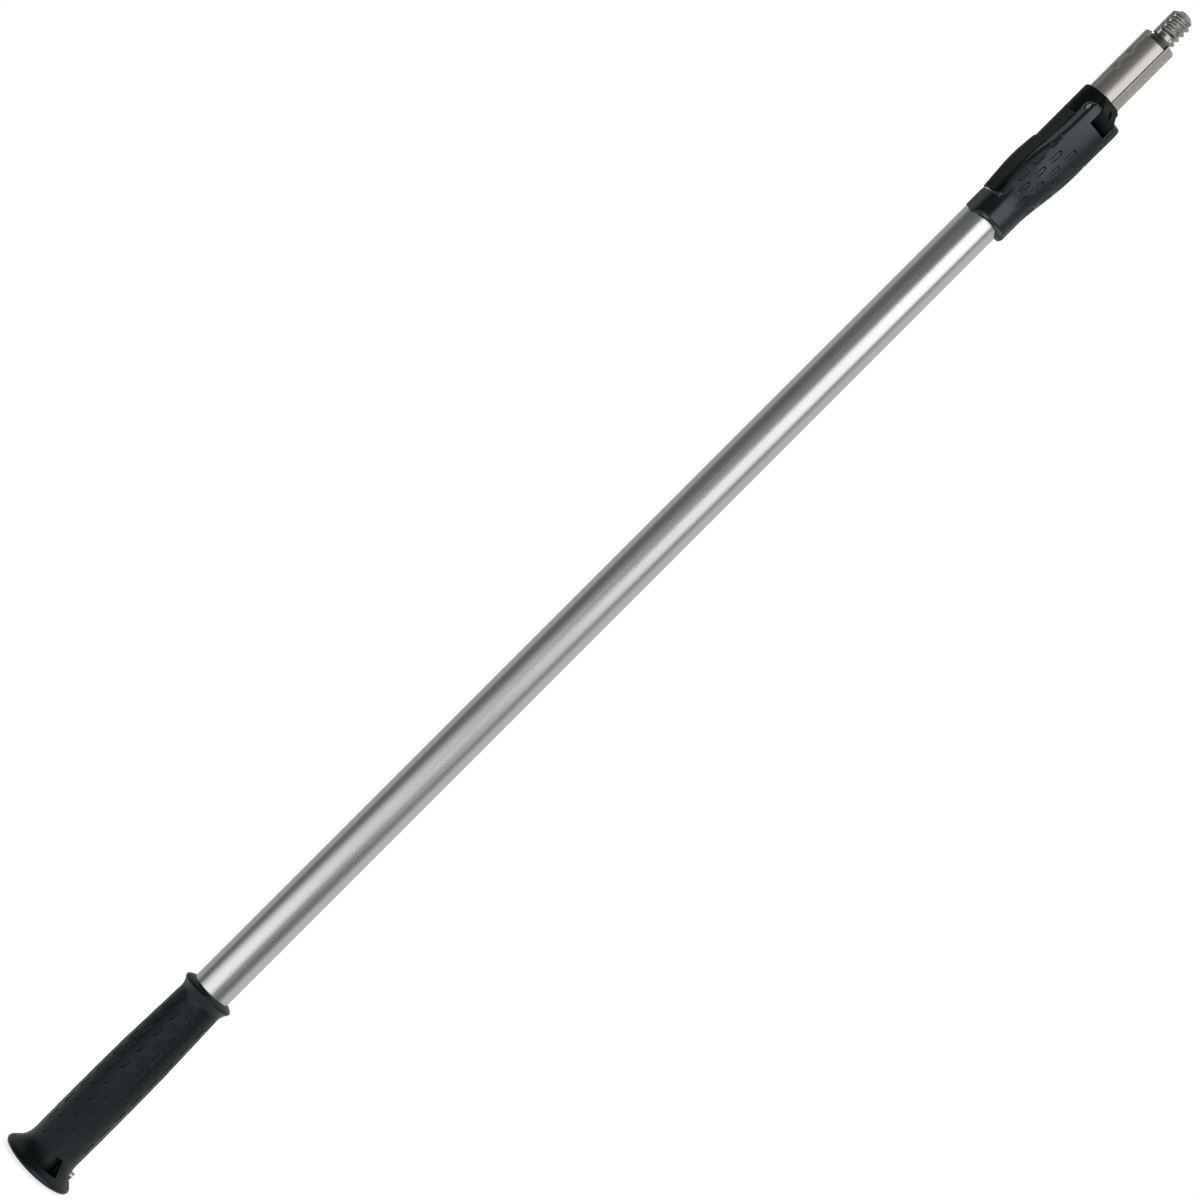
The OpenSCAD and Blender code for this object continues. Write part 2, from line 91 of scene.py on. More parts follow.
PIN_OUT = -joint_position("lever_hinge")[1]
PIN_Z = joint_position("lever_hinge")[2]
TUBE_R, TUBE_FOOT, TUBE_TOP = node_span("outer_tube")
INNER_R, INNER_FOOT, INNER_TOP = node_span("inner_tube")
GRIP_TOP = node_span("handle_grip")[2]
POLE_TOP = node_span("threaded_tip")[2]
THREAD_R = mount_dims("thread")["r_mm"]
THREAD_FOOT = POLE_TOP - mount_dims("thread")["length_mm"]
TUBE_WALL = 1.5
INNER_WALL = 1.4


# ---------------------------------------------------------------- making meshes

def add_object(name, points, faces):
    """A smooth-shaded object from points in millimetres and faces, with its unused points left out."""
    points = np.asarray(points, float)
    used = np.unique(np.concatenate([np.ravel(f) for f in faces]))
    place = np.full(len(points), -1)
    place[used] = np.arange(len(used))
    mesh = bpy.data.meshes.new(name)
    mesh.from_pydata((points[used] * MM).tolist(), [], [[int(place[i]) for i in f] for f in faces])
    mesh.validate()
    mesh.update()
    piece = bpy.data.objects.new(name, mesh)
    bpy.context.scene.collection.objects.link(piece)
    return piece


def finish_piece(piece, body, material, nodes=(), smooth_angle=35):
    """Sets shading, material and slot, and ties the piece to its body and the nodes that it stands for."""
    piece.data.polygons.foreach_set("use_smooth", [True] * len(piece.data.polygons))
    piece.data.set_sharp_from_angle(angle=math.radians(smooth_angle))
    piece.data.materials.clear()
    piece.data.materials.append(material)
    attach(piece, body)
    if nodes:
        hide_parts(*nodes)
    return piece


def merge_close(piece, distance=1e-6):
    """Joins points that lie together, such as those on the axis of a turned piece."""
    work = bmesh.new()
    work.from_mesh(piece.data)
    bmesh.ops.remove_doubles(work, verts=work.verts, dist=distance)
    bmesh.ops.recalc_face_normals(work, faces=work.faces)
    work.to_mesh(piece.data)
    work.free()


def turned(name, profile, angles, radial=None):
    """Turns a closed profile of [radius, height] points round the axis.

    radial adds to the radius, by profile point and angle.
    """
    profile = np.asarray(profile, float)
    angles = np.radians(angles)
    rows, columns = len(profile), len(angles)
    radii = np.repeat(profile[:, :1], columns, axis=1)
    if radial is not None:
        radii = radii + radial
    points = np.stack([
        radii * np.cos(angles), radii * np.sin(angles), np.repeat(profile[:, 1:], columns, axis=1)
    ], axis=-1).reshape(-1, 3)
    i, j = np.meshgrid(np.arange(rows), np.arange(columns), indexing="ij")
    i, j = i.ravel(), j.ravel()
    following, beside = (i + 1) % rows, (j + 1) % columns
    faces = np.stack([
        i * columns + j, i * columns + beside, following * columns + beside, following * columns + j
    ], axis=1)
    piece = add_object(name, points, faces)
    merge_close(piece)
    return piece


def cell_shell(name, angles, heights, outer, inner, present):
    """Closed wall round the axis, made of cells between angles and heights, open where none is present."""
    columns, rows = len(angles), len(heights)
    turn = np.radians(angles)[:, None]
    z = np.broadcast_to(np.asarray(heights, float), (columns, rows))
    points = [
        np.stack([r * np.cos(turn), r * np.sin(turn), z], axis=-1).reshape(-1, 3) for r in (outer, inner)
    ]
    count = columns * rows
    faces = []
    for i in range(columns):
        beside = (i + 1) % columns
        for j in range(rows - 1):
            if not present[i, j]:
                continue
            a, b, c, d = i * rows + j, beside * rows + j, beside * rows + j + 1, i * rows + j + 1
            faces.append((a, b, c, d))
            faces.append((a + count, d + count, c + count, b + count))
            if j == 0 or not present[i, j - 1]:
                faces.append((a, a + count, b + count, b))
            if j == rows - 2 or not present[i, j + 1]:
                faces.append((d, c, c + count, d + count))
            if not present[i - 1, j]:
                faces.append((a, d, d + count, a + count))
            if not present[beside, j]:
                faces.append((b, b + count, c + count, c))
    piece = add_object(name, np.concatenate(points), faces)
    merge_close(piece)
    return piece


def soft_curve(points, at, reach=2.5):
    """Values at heights, from [height, value] points joined by lines and softened over a few millimetres."""
    heights, values = zip(*sorted(points))
    offsets = np.linspace(-2, 2, 17)
    weights = np.exp(-0.5 * offsets ** 2)
    total = sum(w * np.interp(at + o * reach, heights, values) for o, w in zip(offsets, weights))
    return total / weights.sum()


# ---------------------------------------------------------------- solids from distance fields
# A field is an array of distances in millimetres, negative inside the solid, over the lock's own
# coordinates: x across, u in front of the pole's axis, w above the hinge pin.

def both(a, b, blend=0.0):
    """Inside both fields, with the edge between them rounded over blend."""
    if blend == 0:
        return np.maximum(a, b)
    share = np.clip(0.5 + 0.5 * (a - b) / blend, 0, 1)
    return b + (a - b) * share + blend * share * (1 - share)


def either(a, b, blend=0.0):
    """Inside one field or the other, with the corner between them filled over blend."""
    return -both(-a, -b, blend)


def without(a, b, blend=0.0):
    """Inside a and outside b."""
    return both(a, -b, blend)


def span(value, low, high):
    """Distance outside the span from low to high."""
    return np.maximum(low - value, value - high)


def grid(low, high, step):
    """Sparse coordinates of a block of points."""
    axes = [np.arange(a, b + step, step, dtype=np.float32) for a, b in zip(low, high)]
    return np.meshgrid(*axes, indexing="ij", sparse=True)


def field_faces(inside, cell):
    """Quads across every grid edge where the field changes sign."""
    faces = []
    for axis in range(3):
        first, second = [(1, 2), (2, 0), (0, 1)][axis]
        lower = np.take(inside, range(inside.shape[axis] - 1), axis)
        upper = np.take(inside, range(1, inside.shape[axis]), axis)
        for rising in (True, False):
            where = np.array(np.nonzero((lower & ~upper) if rising else (upper & ~lower))).T
            step_a, step_b = np.zeros(3, int), np.zeros(3, int)
            step_a[first], step_b[second] = 1, 1
            ring = [where - step_a - step_b, where - step_b, where, where - step_a]
            quad = np.stack([cell[tuple(p.T)] for p in ring], axis=1)
            faces.append(quad if rising else quad[:, ::-1])
    return np.concatenate(faces)


def field_piece(name, field, low, step):
    """Closed smooth mesh of a field's surface, one point for each grid cell that it crosses."""
    inside = field < 0
    corners = [(a, b, c) for a in (0, 1) for b in (0, 1) for c in (0, 1)]
    size = [n - 1 for n in field.shape]
    held = sum(
        inside[a:a + size[0], b:b + size[1], c:c + size[2]].astype(np.int8) for a, b, c in corners
    )
    cells = np.array(np.nonzero((held > 0) & (held < 8))).T
    values = np.stack([field[tuple((cells + k).T)] for k in corners], axis=1)
    total, hits = np.zeros((len(cells), 3)), np.zeros((len(cells), 1))
    for i, start in enumerate(corners):
        for k, end in enumerate(corners):
            if i < k and sum(abs(p - q) for p, q in zip(start, end)) == 1:
                crossed = (values[:, i] < 0) != (values[:, k] < 0)
                share = values[crossed, i] / (values[crossed, i] - values[crossed, k])
                total[crossed] += np.array(start) + share[:, None] * (np.array(end) - np.array(start))
                hits[crossed] += 1
    local = (cells + total / hits) * step + np.array(low)
    cell = np.full(size, -1)
    cell[tuple(cells.T)] = np.arange(len(cells))
    points = np.stack([local[:, 0], -local[:, 1], PIN_Z + local[:, 2]], axis=1)
    return add_object(name, points, field_faces(inside, cell)[:, ::-1])


# ---------------------------------------------------------------- materials

class Sums:
    """Short way to write arithmetic with node values."""

    soft_edge = (1.14, 0.75)

    def __init__(self, tree):
        self.tree = tree

    def __call__(self, operation, *values):
        node = self.tree.nodes.new("ShaderNodeMath")
        node.operation = operation
        for socket, value in zip(node.inputs, values):
            if isinstance(value, (int, float)):
                socket.default_value = value
            else:
                self.tree.links.new(value, socket)
        return node.outputs[0]

    def along(self, direction, axis):
        """How far a direction points along an axis."""
        node = self.tree.nodes.new("ShaderNodeVectorMath")
        node.operation = "DOT_PRODUCT"
        self.tree.links.new(direction, node.inputs[0])
        node.inputs[1].default_value = axis
        return node.outputs["Value"]

    def step(self, value, start, end):
        """Smooth rise from 0 at start to 1 at end."""
        node = self.tree.nodes.new("ShaderNodeMapRange")
        node.interpolation_type = "SMOOTHSTEP"
        node.inputs["From Min"].default_value = start
        node.inputs["From Max"].default_value = end
        self.tree.links.new(value, node.inputs["Value"])
        return node.outputs["Result"]

    def tongue(self, turn, lift, centre, size):
        """Soft-edged strip of height 1, straight on one side of its centre and round on the other.

        size is half the strip's width and the reach of its round end, which is below the centre if negative.
        """
        across = self("DIVIDE", self("SUBTRACT", turn, centre[0]), size[0])
        beyond = self("MAXIMUM", self("DIVIDE", self("SUBTRACT", lift, centre[1]), size[1]), 0.0)
        far = self("SQRT", self("ADD", self("MULTIPLY", across, across), self("MULTIPLY", beyond, beyond)))
        return self.step(far, *self.soft_edge)

    def window(self, value, rise, fall):
        """Smooth rise from 0 to 1 over one span and fall back to 0 over another."""
        return self("MULTIPLY", self.step(value, *rise), self.step(value, fall[1], fall[0]))


def new_material(name, colour, roughness, metallic=0.0):
    """A node material with a Principled shader, and its tree and shader."""
    material = bpy.data.materials.new(name)
    material.use_nodes = True
    material.diffuse_color = (*colour, 1)
    shader = material.node_tree.nodes["Principled BSDF"]
    shader.inputs["Metallic"].default_value = metallic
    shader.inputs["Roughness"].default_value = roughness
    shader.inputs["Base Color"].default_value = (*colour, 1)
    return material, material.node_tree, shader


def object_point(tree, scale):
    """The object's own coordinates, scaled along each axis."""
    source = tree.nodes.new("ShaderNodeTexCoord")
    mapping = tree.nodes.new("ShaderNodeMapping")
    mapping.inputs["Scale"].default_value = scale
    tree.links.new(source.outputs["Object"], mapping.inputs["Vector"])
    return mapping.outputs["Vector"]


def noise(tree, scale, detail=2.0, rough=0.5, distortion=0.0):
    """Noise from 0 to 1 with its grain scaled along each axis."""
    node = tree.nodes.new("ShaderNodeTexNoise")
    node.inputs["Scale"].default_value = 1.0
    node.inputs["Detail"].default_value = detail
    node.inputs["Roughness"].default_value = rough
    node.inputs["Distortion"].default_value = distortion
    tree.links.new(object_point(tree, scale), node.inputs["Vector"])
    return node.outputs["Fac"]


def ramp(tree, value, stops):
    """Colour ramp through [position, colour] stops; a grey is given by one number."""
    node = tree.nodes.new("ShaderNodeValToRGB")
    points = node.color_ramp.elements
    for k, (position, colour) in enumerate(stops):
        point = points[k] if k < 2 else points.new(position)
        point.position = position
        point.color = (colour, colour, colour, 1) if isinstance(colour, float) else (*colour, 1)
    tree.links.new(value, node.inputs["Fac"])
    return node.outputs["Color"]


def spread(tree, value, low, high, start=0.3, end=0.7):
    """Stretches a value so that the range from start to end becomes the one from low to high."""
    node = tree.nodes.new("ShaderNodeMapRange")
    node.inputs["From Min"].default_value = start
    node.inputs["From Max"].default_value = end
    node.inputs["To Min"].default_value = low
    node.inputs["To Max"].default_value = high
    tree.links.new(value, node.inputs["Value"])
    return node.outputs["Result"]


def bump(tree, height, distance, strength=1.0, below=None):
    """Bump of a height, given in metres of relief, over an earlier bump."""
    node = tree.nodes.new("ShaderNodeBump")
    node.inputs["Distance"].default_value = distance
    node.inputs["Strength"].default_value = strength
    tree.links.new(height, node.inputs["Height"])
    if below is not None:
        tree.links.new(below, node.inputs["Normal"])
    return node.outputs["Normal"]


def shaded(shade, factor):
    """A colour made lighter or darker."""
    return tuple(min(1.0, c * factor) for c in shade)


def drawn_aluminium(name, colour, roughness):
    """Satin aluminium drawn lengthwise: fine streaks along the tube and a faint cloudiness."""
    material, tree, shader = new_material(name, colour, roughness, metallic=1.0)
    streaks = noise(tree, (1400, 1400, 6), detail=3)
    grit = noise(tree, (2600, 2600, 900), detail=2)
    clouds = noise(tree, (30, 30, 9), detail=3)
    tree.links.new(ramp(tree, clouds, [
        (0.3, shaded(colour, 0.95)), (0.7, shaded(colour, 1.03))
    ]), shader.inputs["Base Color"])
    tree.links.new(spread(tree, streaks, roughness - 0.03, roughness + 0.04), shader.inputs["Roughness"])
    first = bump(tree, streaks, 0.000006, 0.35)
    tree.links.new(bump(tree, grit, 0.000004, 0.3, first), shader.inputs["Normal"])
    return material


# Near-black colour painted along the inner tube's grooves as shade, and the soft edge of that painted strip, in
# metres.
GROOVE_SHADE = (0.03, 0.03, 0.028)
GROOVE_SHADE_EDGE = 0.0001


def object_axes(tree):
    """Node that gives the object's X, Y and Z apart, in metres."""
    parts = tree.nodes.new("ShaderNodeSeparateXYZ")
    tree.links.new(object_point(tree, (1, 1, 1)), parts.inputs[0])
    return parts


def darkened(tree, shader, unshaded_colour, shade_mask, dark):
    """Gives the shader its unshaded colour, mixed with a dark one where shade is painted."""
    mix = tree.nodes.new("ShaderNodeMix")
    mix.data_type = "RGBA"
    tree.links.new(shade_mask, mix.inputs[0])
    tree.links.new(unshaded_colour, mix.inputs[6])
    mix.inputs[7].default_value = (*dark, 1)
    tree.links.new(mix.outputs[2], shader.inputs["Base Color"])


def grooved_aluminium(name, colour, roughness, half_width):
    """Drawn aluminium with painted shade, a near-black strip, along its four grooves, which lie on the tube's own
    X and Y axes.
    """
    material = drawn_aluminium(name, colour, roughness)
    tree = material.node_tree
    shader = tree.nodes["Principled BSDF"]
    parts = object_axes(tree)
    sums = Sums(tree)
    nearest = sums("MINIMUM", sums("ABSOLUTE", parts.outputs["X"]), sums("ABSOLUTE", parts.outputs["Y"]))
    # Painted shade: near-black wherever the point lies within a groove's half width.
    shade_mask = sums.step(nearest, half_width + GROOVE_SHADE_EDGE, half_width - GROOVE_SHADE_EDGE)
    unshaded_colour = shader.inputs["Base Color"].links[0].from_socket
    darkened(tree, shader, unshaded_colour, shade_mask, GROOVE_SHADE)
    return material


def cast_metal(name, colour, roughness):
    """Bright die casting: mottled sheen, small pits, and painted shade that darkens the neck below the thread."""
    material, tree, shader = new_material(name, colour, roughness, metallic=1.0)
    mottle = noise(tree, (260, 260, 260), detail=4, rough=0.65)
    pits = noise(tree, (900, 900, 900), detail=3, rough=0.7)
    unshaded_colour = ramp(tree, mottle, [(0.3, shaded(colour, 0.72)), (0.5, colour), (0.72, shaded(colour, 1.2))])
    height = object_axes(tree).outputs["Z"]
    # Painted shade: the neck below the thread is darkened to stand for its shadow inside the tube's mouth.
    neck_shade = Sums(tree).step(height, (THREAD_FOOT + 1) * MM, (THREAD_FOOT - 1) * MM)
    darkened(tree, shader, unshaded_colour, neck_shade, shaded(colour, 0.45))
    tree.links.new(spread(tree, mottle, roughness + 0.12, roughness - 0.06), shader.inputs["Roughness"])
    first = bump(tree, mottle, 0.00012, 0.4)
    tree.links.new(bump(tree, pits, 0.00003, 0.3, first), shader.inputs["Normal"])
    return material


def moulded_plastic(name, colour, roughness, gloss=0.5, tint=(1.0, 1.0, 1.0)):
    """Moulded plastic: fine spark-eroded grain, slightly uneven gloss and colour."""
    material, tree, shader = new_material(name, colour, roughness)
    shader.inputs["Specular IOR Level"].default_value = gloss
    shader.inputs["Specular Tint"].default_value = (*tint, 1)
    fine = noise(tree, (1500, 1500, 1500), detail=2, rough=0.6)
    broad = noise(tree, (45, 45, 28), detail=3)
    tree.links.new(ramp(tree, broad, [
        (0.3, shaded(colour, 0.85)), (0.7, shaded(colour, 1.15))
    ]), shader.inputs["Base Color"])
    tree.links.new(spread(tree, broad, roughness - 0.04, roughness + 0.05), shader.inputs["Roughness"])
    tree.links.new(bump(tree, fine, 0.00001, 0.6), shader.inputs["Normal"])
    return material


def soft_rubber(name, colour, roughness, tint=(1.0, 1.0, 1.0)):
    """Matte rubber: dusty mottling and a fine pebbled skin."""
    material, tree, shader = new_material(name, colour, roughness)
    shader.inputs["Specular IOR Level"].default_value = 0.45
    shader.inputs["Specular Tint"].default_value = (*tint, 1)
    pebbles = noise(tree, (1100, 1100, 1100), detail=2, rough=0.6)
    dust = noise(tree, (60, 60, 25), detail=4, rough=0.6)
    tree.links.new(ramp(tree, dust, [
        (0.3, shaded(colour, 0.8)), (0.75, shaded(colour, 1.25))
    ]), shader.inputs["Base Color"])
    tree.links.new(spread(tree, dust, roughness - 0.05, roughness + 0.07), shader.inputs["Roughness"])
    tree.links.new(bump(tree, pebbles, 0.000018, 0.6), shader.inputs["Normal"])
    return material


def bright_steel(name, colour, roughness):
    """Turned steel: fine rings of scratches and a few brighter patches."""
    material, tree, shader = new_material(name, colour, roughness, metallic=1.0)
    scratches = noise(tree, (1800, 1800, 1800), detail=3, rough=0.7)
    patches = noise(tree, (200, 200, 200), detail=2)
    tree.links.new(ramp(tree, patches, [
        (0.3, shaded(colour, 0.85)), (0.7, shaded(colour, 1.1))
    ]), shader.inputs["Base Color"])
    tree.links.new(spread(tree, scratches, roughness - 0.05, roughness + 0.08), shader.inputs["Roughness"])
    tree.links.new(bump(tree, scratches, 0.00003, 0.4), shader.inputs["Normal"])
    return material


TEAL = (0.78, 0.97, 1.0)
# Half width, in metres, of the painted shade along the inner tube's grooves.
GROOVE_SHADE_HALF_WIDTH = 0.00045
MATERIALS = {
    "outer_aluminium": drawn_aluminium("outer_aluminium", (0.79, 0.81, 0.80), 0.25),
    "inner_aluminium": grooved_aluminium(
        "inner_aluminium", (0.60, 0.59, 0.545), 0.36, GROOVE_SHADE_HALF_WIDTH
    ),
    "tip_metal": cast_metal("tip_metal", (0.48, 0.48, 0.45), 0.24),
    "grip_rubber": soft_rubber("grip_rubber", (0.0015, 0.0036, 0.0042), 0.33, TEAL),
    "housing_plastic": moulded_plastic("housing_plastic", (0.0012, 0.0018, 0.0019), 0.5, 0.24, TEAL),
    "lever_plastic": moulded_plastic("lever_plastic", (0.0012, 0.0026, 0.003), 0.27, 0.85, TEAL),
    "dark_plastic": moulded_plastic("dark_plastic", (0.012, 0.012, 0.013), 0.35, 0.4),
    "pale_nylon": moulded_plastic("pale_nylon", (0.72, 0.70, 0.62), 0.5),
    "black_rubber": soft_rubber("black_rubber", (0.012, 0.012, 0.012), 0.6),
    "steel": bright_steel("steel", (0.72, 0.72, 0.72), 0.22),
}


# ---------------------------------------------------------------- tubes and tip

def make_outer_tube():
    """Plain drawn tube with its end edges broken."""
    bevel = 0.3
    bore = TUBE_R - TUBE_WALL
    profile = [
        (TUBE_R - bevel, TUBE_FOOT), (TUBE_R, TUBE_FOOT + bevel), (TUBE_R, TUBE_TOP - bevel),
        (TUBE_R - bevel, TUBE_TOP), (bore + bevel, TUBE_TOP), (bore, TUBE_TOP - bevel),
        (bore, TUBE_FOOT + bevel), (bore + bevel, TUBE_FOOT),
    ]
    piece = turned("outer_tube_skin", profile, np.arange(0, 360, 1.5))
    finish_piece(piece, "outer", MATERIALS["outer_aluminium"], ["outer_tube"])


GROOVES = (-180, -90, 0, 90)
GROOVE_HALF_ANGLE = 1.84
GROOVE_DEPTH = 0.5
NOTCH_ANGLES = [(-166, -91), (14, 89)]
NOTCH_DEPTH = 4.8
CRIMP_ANGLES = (-164, 16)
CRIMP_HEIGHTS = (POLE_TOP - 64, POLE_TOP - 49.5)
CRIMP_R = 3.6
CRIMP_DEPTH = 0.6
CRIMP_MARGIN = 5
BROKEN_EDGE = 0.3
NOTCHED_EDGE = 0.5


def turn_between(a, b):
    """Signed angle from b to a, in degrees."""
    return (np.asarray(a) - b + 180) % 360 - 180


def inner_tube_angles():
    """Angles of the inner tube's columns: closer together at its grooves, notches and crimps."""
    angles = set(range(-180, 180, 3))
    for groove in GROOVES:
        angles |= {groove + side * s for s in (0, 1.5, GROOVE_HALF_ANGLE, 2.3) for side in (-1, 1)}
    for start, end in NOTCH_ANGLES:
        angles |= {start, start + 1, end, end - 1}
    for centre in CRIMP_ANGLES:
        angles |= set(range(centre - 15, centre + 16))
    wrapped = sorted({round((a + 180) % 360 - 180, 3) for a in angles})
    return np.array(wrapped)


def inner_tube_heights(notch_z):
    """Heights of the inner tube's rows: close together at its crimps and ends."""
    crimp_low = min(CRIMP_HEIGHTS) - CRIMP_MARGIN
    crimp_high = max(CRIMP_HEIGHTS) + CRIMP_MARGIN
    return np.unique(np.round(np.concatenate([
        [INNER_FOOT, INNER_FOOT + BROKEN_EDGE], np.linspace(INNER_FOOT + 1, crimp_low, 12),
        np.arange(crimp_low, crimp_high, 0.5), [notch_z - 0.4, notch_z, INNER_TOP - 0.7, INNER_TOP],
    ]), 3))


def inner_tube_surface(angles, heights):
    """Outside radius of the inner tube by angle and height, with its grooves and crimps."""
    outer = np.full((len(angles), len(heights)), INNER_R)
    for groove in GROOVES:
        outer[np.abs(turn_between(angles, groove)) < GROOVE_HALF_ANGLE - 0.2] = INNER_R - GROOVE_DEPTH
    for centre in CRIMP_ANGLES:
        across = np.radians(turn_between(angles, centre)) * INNER_R
        for height in CRIMP_HEIGHTS:
            far = np.hypot(across[:, None], (heights - height)[None, :]) / CRIMP_R
            outer -= CRIMP_DEPTH * np.clip(1 - far ** 2, 0, 1) ** 1.5
    return outer


def make_inner_tube():
    """Tube with four long grooves, two notches in its upper end and crimps on the tip's plug."""
    angles = inner_tube_angles()
    notch_z = INNER_TOP - NOTCH_DEPTH
    heights = inner_tube_heights(notch_z)
    outer = inner_tube_surface(angles, heights)
    middles = angles + (np.roll(angles, -1) - angles) % 360 / 2
    notched = np.zeros(len(angles), bool)
    for start, end in NOTCH_ANGLES:
        centre, half = (start + end) / 2, (end - start) / 2
        notched |= np.abs(turn_between(middles, centre)) < half
        inside = np.abs(turn_between(angles, centre)) < half - 0.5
        outer[np.ix_(inside, heights == notch_z)] -= BROKEN_EDGE
    outer[:, -1] -= NOTCHED_EDGE
    outer[:, 0] -= BROKEN_EDGE
    inner = np.full_like(outer, INNER_R - INNER_WALL)
    present = ~(notched[:, None] & (heights[None, :-1] >= notch_z))
    piece = cell_shell("inner_tube_skin", angles, heights, outer, inner, present)
    finish_piece(piece, "inner", MATERIALS["inner_aluminium"], ["inner_tube"])


THREAD_ROOT = 7.4
THREAD_PITCH = 5.08
THREAD_START = -80
THREAD_TURNS = 4.17
THREAD_RUNOUT = 0.12
FIRST_RIDGE = THREAD_FOOT + 1.8
RIDGE_FOOT_HALF = 2.5
RIDGE_CREST_HALF = 0.1
RIB_ANGLE = 172
RIB_FOOT_HALF = 4.2
RIB_CREST_HALF = 2.4
RIB_UNDER_CREST = 0.08
TIP_FLAT_R = 5.2
PLUG_FOOT = POLE_TOP - 68
PLUG_HEAD = INNER_TOP - 0.6


def thread_radius(angle, z):
    """Radius of the threaded end at an angle and height: ridge, upright rib, wear and the bevelled end."""
    turn = (angle - THREAD_START) % 360 / 360
    grow = np.zeros_like(turn + z)
    for k in range(math.ceil(THREAD_TURNS)):
        along = turn + k
        centre = FIRST_RIDGE + THREAD_PITCH * along
        slope = (RIDGE_FOOT_HALF - np.abs(z - centre)) / (RIDGE_FOOT_HALF - RIDGE_CREST_HALF)
        ends = np.clip(np.minimum(along, THREAD_TURNS - along) / THREAD_RUNOUT, 0, 1)
        ridge = 0.5 - 0.5 * np.cos(np.pi * np.clip(slope, 0, 1))
        grow = np.maximum(grow, ridge * ends)
    radius = THREAD_ROOT + (THREAD_R - THREAD_ROOT) * grow
    aside = np.radians(turn_between(angle, RIB_ANGLE))
    from_foot = RIB_FOOT_HALF - THREAD_R * np.abs(np.sin(aside))
    strip = np.clip(from_foot / (RIB_FOOT_HALF - RIB_CREST_HALF), 0, 1) * (np.cos(aside) > 0)
    radius = np.maximum(radius, THREAD_ROOT + (THREAD_R - RIB_UNDER_CREST - THREAD_ROOT) * strip)
    wear = 0.05 * np.sin(7 * np.radians(angle)) * np.sin(z * 2.1) + 0.04 * np.sin(11 * np.radians(angle) + z)
    bevel = TIP_FLAT_R + (POLE_TOP - z) + 0.7 * (grow - 0.6)
    return np.minimum(radius + wear * grow, bevel)


def make_threaded_tip():
    """Die-cast tip: plug inside the tube, neck and coarse thread with a bevelled end."""
    plug_r = INNER_R - INNER_WALL - 0.02
    neck = THREAD_ROOT + 1
    lower = [
        (0, PLUG_FOOT), (plug_r - 0.5, PLUG_FOOT), (plug_r, PLUG_FOOT + 0.5), (plug_r, PLUG_HEAD - 0.8),
        (plug_r - 0.8, PLUG_HEAD), (neck + 1, PLUG_HEAD), (neck, PLUG_HEAD + 1), (neck, THREAD_FOOT - 1.5),
        (THREAD_ROOT + 0.3, THREAD_FOOT - 0.4),
    ]
    thread_z = np.arange(THREAD_FOOT, POLE_TOP - 0.05, 0.2)
    upper = [(0.0, z) for z in thread_z]
    top = [(TIP_FLAT_R - 0.3, POLE_TOP), (0, POLE_TOP)]
    profile = np.array(lower + upper + top, float)
    angles = np.arange(0, 360, 2.0)
    radial = np.zeros((len(profile), len(angles)))
    rows = slice(len(lower), len(lower) + len(upper))
    radial[rows] = thread_radius(angles[None, :], thread_z[:, None])
    piece = turned("threaded_tip_skin", profile, angles, radial)
    finish_piece(piece, "inner", MATERIALS["tip_metal"], ["threaded_tip"], smooth_angle=60)


# ---------------------------------------------------------------- handle

FLARE_R = cad_high.x / MM
GRIP_OUTLINE = [
    (0, 8.5), (0.7, 20), (2, 27), (3.1, FLARE_R - 0.6), (4.4, FLARE_R), (6, FLARE_R - 0.5), (8, 28),
    (10.4, 25.4), (13, 23.4), (16, 22), (19.3, 21.3), (23, 21), (55, 21.2), (78, 21.1), (113, 20.7),
    (146, 19.6), (GRIP_TOP - 13, 18.65), (GRIP_TOP - 10, 18.9), (GRIP_TOP - 6.6, 20.2),
    (GRIP_TOP - 4.2, 22), (GRIP_TOP - 3.2, 22.25), (GRIP_TOP - 2.2, 21.2), (GRIP_TOP - 0.8, 18.6),
    (GRIP_TOP, TUBE_R + 0.4),
]
DASH_COLUMNS = 18
DASH_FIRST_ANGLE = -118
DASH_FIRST_HEIGHT = 33.2
DASHES_IN_COLUMN = 9
DASH_PITCH = 16.55
DASH_HALF_LENGTH = 4.9
DASH_HALF_WIDTH = 1.2
DASH_DEPTH = 0.6
DASH_EDGE = 0.6
DASH_EDGE_OUT = 0.15
DASH_ANGLES = [-10, -7, -4.8, -3.9, -3.3, -2.6, -1.8, -0.8, 0.8, 1.8, 2.6, 3.3, 3.9, 4.8, 7]
FLARE_HEIGHTS = [
    0, 0.3, 0.7, 1.3, 2, 2.6, 3.1, 3.7, 4.4, 5.2, 6, 7, 8, 9.2, 10.4, 11.7, 13, 14.5, 16, 17.6, 19.3,
    21, 23, 25,
]
CORE_R = 13.5
CORE_FOOT = 6
WINDOW_ANGLE = -101
WINDOW = [(-10.3, 10.2), (10.3, 10.2), (5.7, 23), (-5.7, 23)]
POCKET_OUTLINE = [
    (CORE_R - 0.2, 9.6), (22.4, 9.6), (21.4, 12), (19.6, 15.5), (18.5, 19.5), (18.3, 23), (CORE_R - 0.2, 23),
]
POCKET_HALF_ANGLE = 27


def dash_distance(across, along):
    """Distance outside a dash of the grip, in millimetres."""
    straight = DASH_HALF_LENGTH - DASH_HALF_WIDTH
    return np.hypot(across, np.maximum(np.abs(along) - straight, 0)) - DASH_HALF_WIDTH


